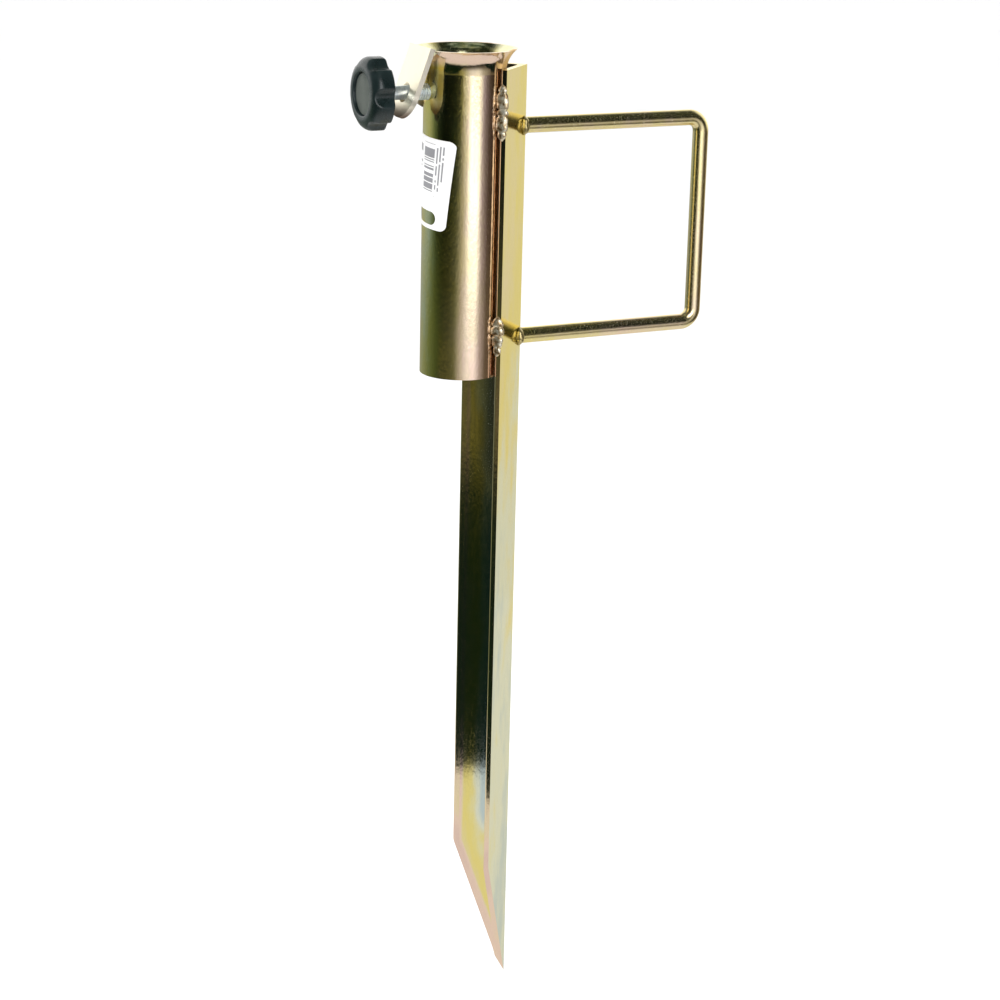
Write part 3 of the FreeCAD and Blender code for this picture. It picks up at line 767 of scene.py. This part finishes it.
def lump_scale(along, lumps, seed):
    """How wide the chain of lumps is at the place along it, from -1 to 1, against the plain bead."""
    wander = 0.6 * noise.noise(Vector((along * 2.3, seed, 0)))
    count = lumps * (along + 1) / 2 + wander
    crown = math.sqrt(abs(math.sin(math.pi * count)))
    blunt = min(1.25, math.sqrt((1 - along ** 6) / max(0.05, 1 - along ** 2)))
    each = 1 + 0.45 * noise.noise(Vector((math.floor(count), seed, 5)))
    return blunt * each * (0.60 + 0.40 * crown)


def weld_bead(node, run, lumps, depth, seed):
    """The CAD bead remeshed fine, then swollen into a chain of melted lumps along its run."""
    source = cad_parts[node]
    made = bpy.data.objects.new(f"{node}_lumps", source.data.copy())
    bpy.context.scene.collection.objects.link(made)
    remesh = made.modifiers.new("fine", "REMESH")
    remesh.mode = "VOXEL"
    remesh.voxel_size = BEAD_VOXEL
    depsgraph = bpy.context.evaluated_depsgraph_get()
    fine = bpy.data.meshes.new_from_object(made.evaluated_get(depsgraph))
    made.modifiers.clear()
    made.data = fine
    low, high = (Vector(corner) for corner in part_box(node))
    centre = (low + high) / 2
    half = (high - low).dot(run) / 2
    for vertex in fine.vertices:
        off = vertex.co - centre
        along = max(-1.0, min(1.0, off.dot(run) / half))
        across = off - run * off.dot(run)
        swell = depth * (lump_scale(along, lumps, seed) - 1)
        rough = noise.noise(vertex.co * 330.0 + Vector((seed, 0, 0)))
        vertex.co += across * swell + vertex.normal * (0.34 * rough - 0.06) * MM
    fine.polygons.foreach_set("use_smooth", [True] * len(fine.polygons))
    return made


# ---------------------------------------------------------------- the assembly
UP, SIDEWAYS = Vector((0, 0, 1)), Vector((0, 1, 0))
# Node, direction of the run, number of lumps, and how strongly they swell.
BEADS = (
    ("weld_tube_upper_near", UP, 5, 1.0),
    ("weld_tube_upper_far", UP, 5, 1.0),
    ("weld_tube_lower_near", UP, 4, 1.0),
    ("weld_tube_lower_far", UP, 4, 1.0),
    ("weld_handle_upper", UP, 2, 0.2),
    ("weld_handle_lower", UP, 2, 0.2),
    ("weld_bracket", SIDEWAYS, 4, 0.4),
)


def dress_frame():
    """Looks for the CAD nodes that stay as they are."""
    looks = {
        "socket_tube": plating("plated_tube", tube_film, tinted_zone=tube_seam, zone_tint=(0.60, 0.38, 0.14)),
        # The angle's inner root under the tube gets painted shade through its tinted zone.
        "angle_spike": plating("plated_angle", angle_film, gloss=0.09, swell=0.07, grain=0.02,
                               tinted_zone=angle_root_shade, zone_tint=(0.30, 0.24, 0.12), zone_metal=1.0),
        "handle": plating("plated_rod", gloss=0.24, swell=0.1, grain=0.003, speck=0.03),
        # The bracket's lobe below the screw carries a painted dark reflection of the knob through its tinted
        # zone.
        "clamp_bracket": plating("plated_bracket", gloss=0.30, pale=0.75, grain=0.015,
                                 tinted_zone=lobe_knob_reflection, zone_tint=(0.16, 0.11, 0.085), zone_metal=0.8),
        "knob_cap": moulded("cap_plastic", (0.055, 0.068, 0.058), (0.085, 0.098, 0.085), 0.5),
        "label": sticker(),
    }
    for node, look in looks.items():
        dress(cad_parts[node], look)


def stand_in(piece, look, node, body):
    """The piece takes the place of the CAD node, with a look of its own."""
    dress(piece, look)
    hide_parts(node)
    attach(piece, body)


def add_beads():
    look = weld_metal()
    for index, (node, run, lumps, depth) in enumerate(BEADS):
        bead = weld_bead(node, run, lumps, depth, index * 7.3)
        stand_in(bead, look, node, "spike")


def add_clamp():
    grip_look = moulded("knob_plastic", (0.005, 0.012, 0.012), (0.011, 0.021, 0.022), 0.28)
    stand_in(clamp_screw(), bright_zinc(), "clamp_screw", "knob")
    stand_in(knob(), grip_look, "knob_body", "knob")


scene = bpy.context.scene
scene.view_settings.view_transform = "Standard"
dress_frame()
add_beads()
add_clamp()
pale_floor()
white_board()
studio_world(scene)
area_light("key", (-0.9, -1.1, 1.2), (0, 0, 0.05), size=0.9, watts=8)
area_light("fill", (1.2, -0.7, 0.7), (0, 0, 0), size=1.0, watts=3)
area_light("rim", (-0.78, 0.87, 1.1), (-0.03, 0, 0.13), size=0.5, watts=7)
camera(scene)
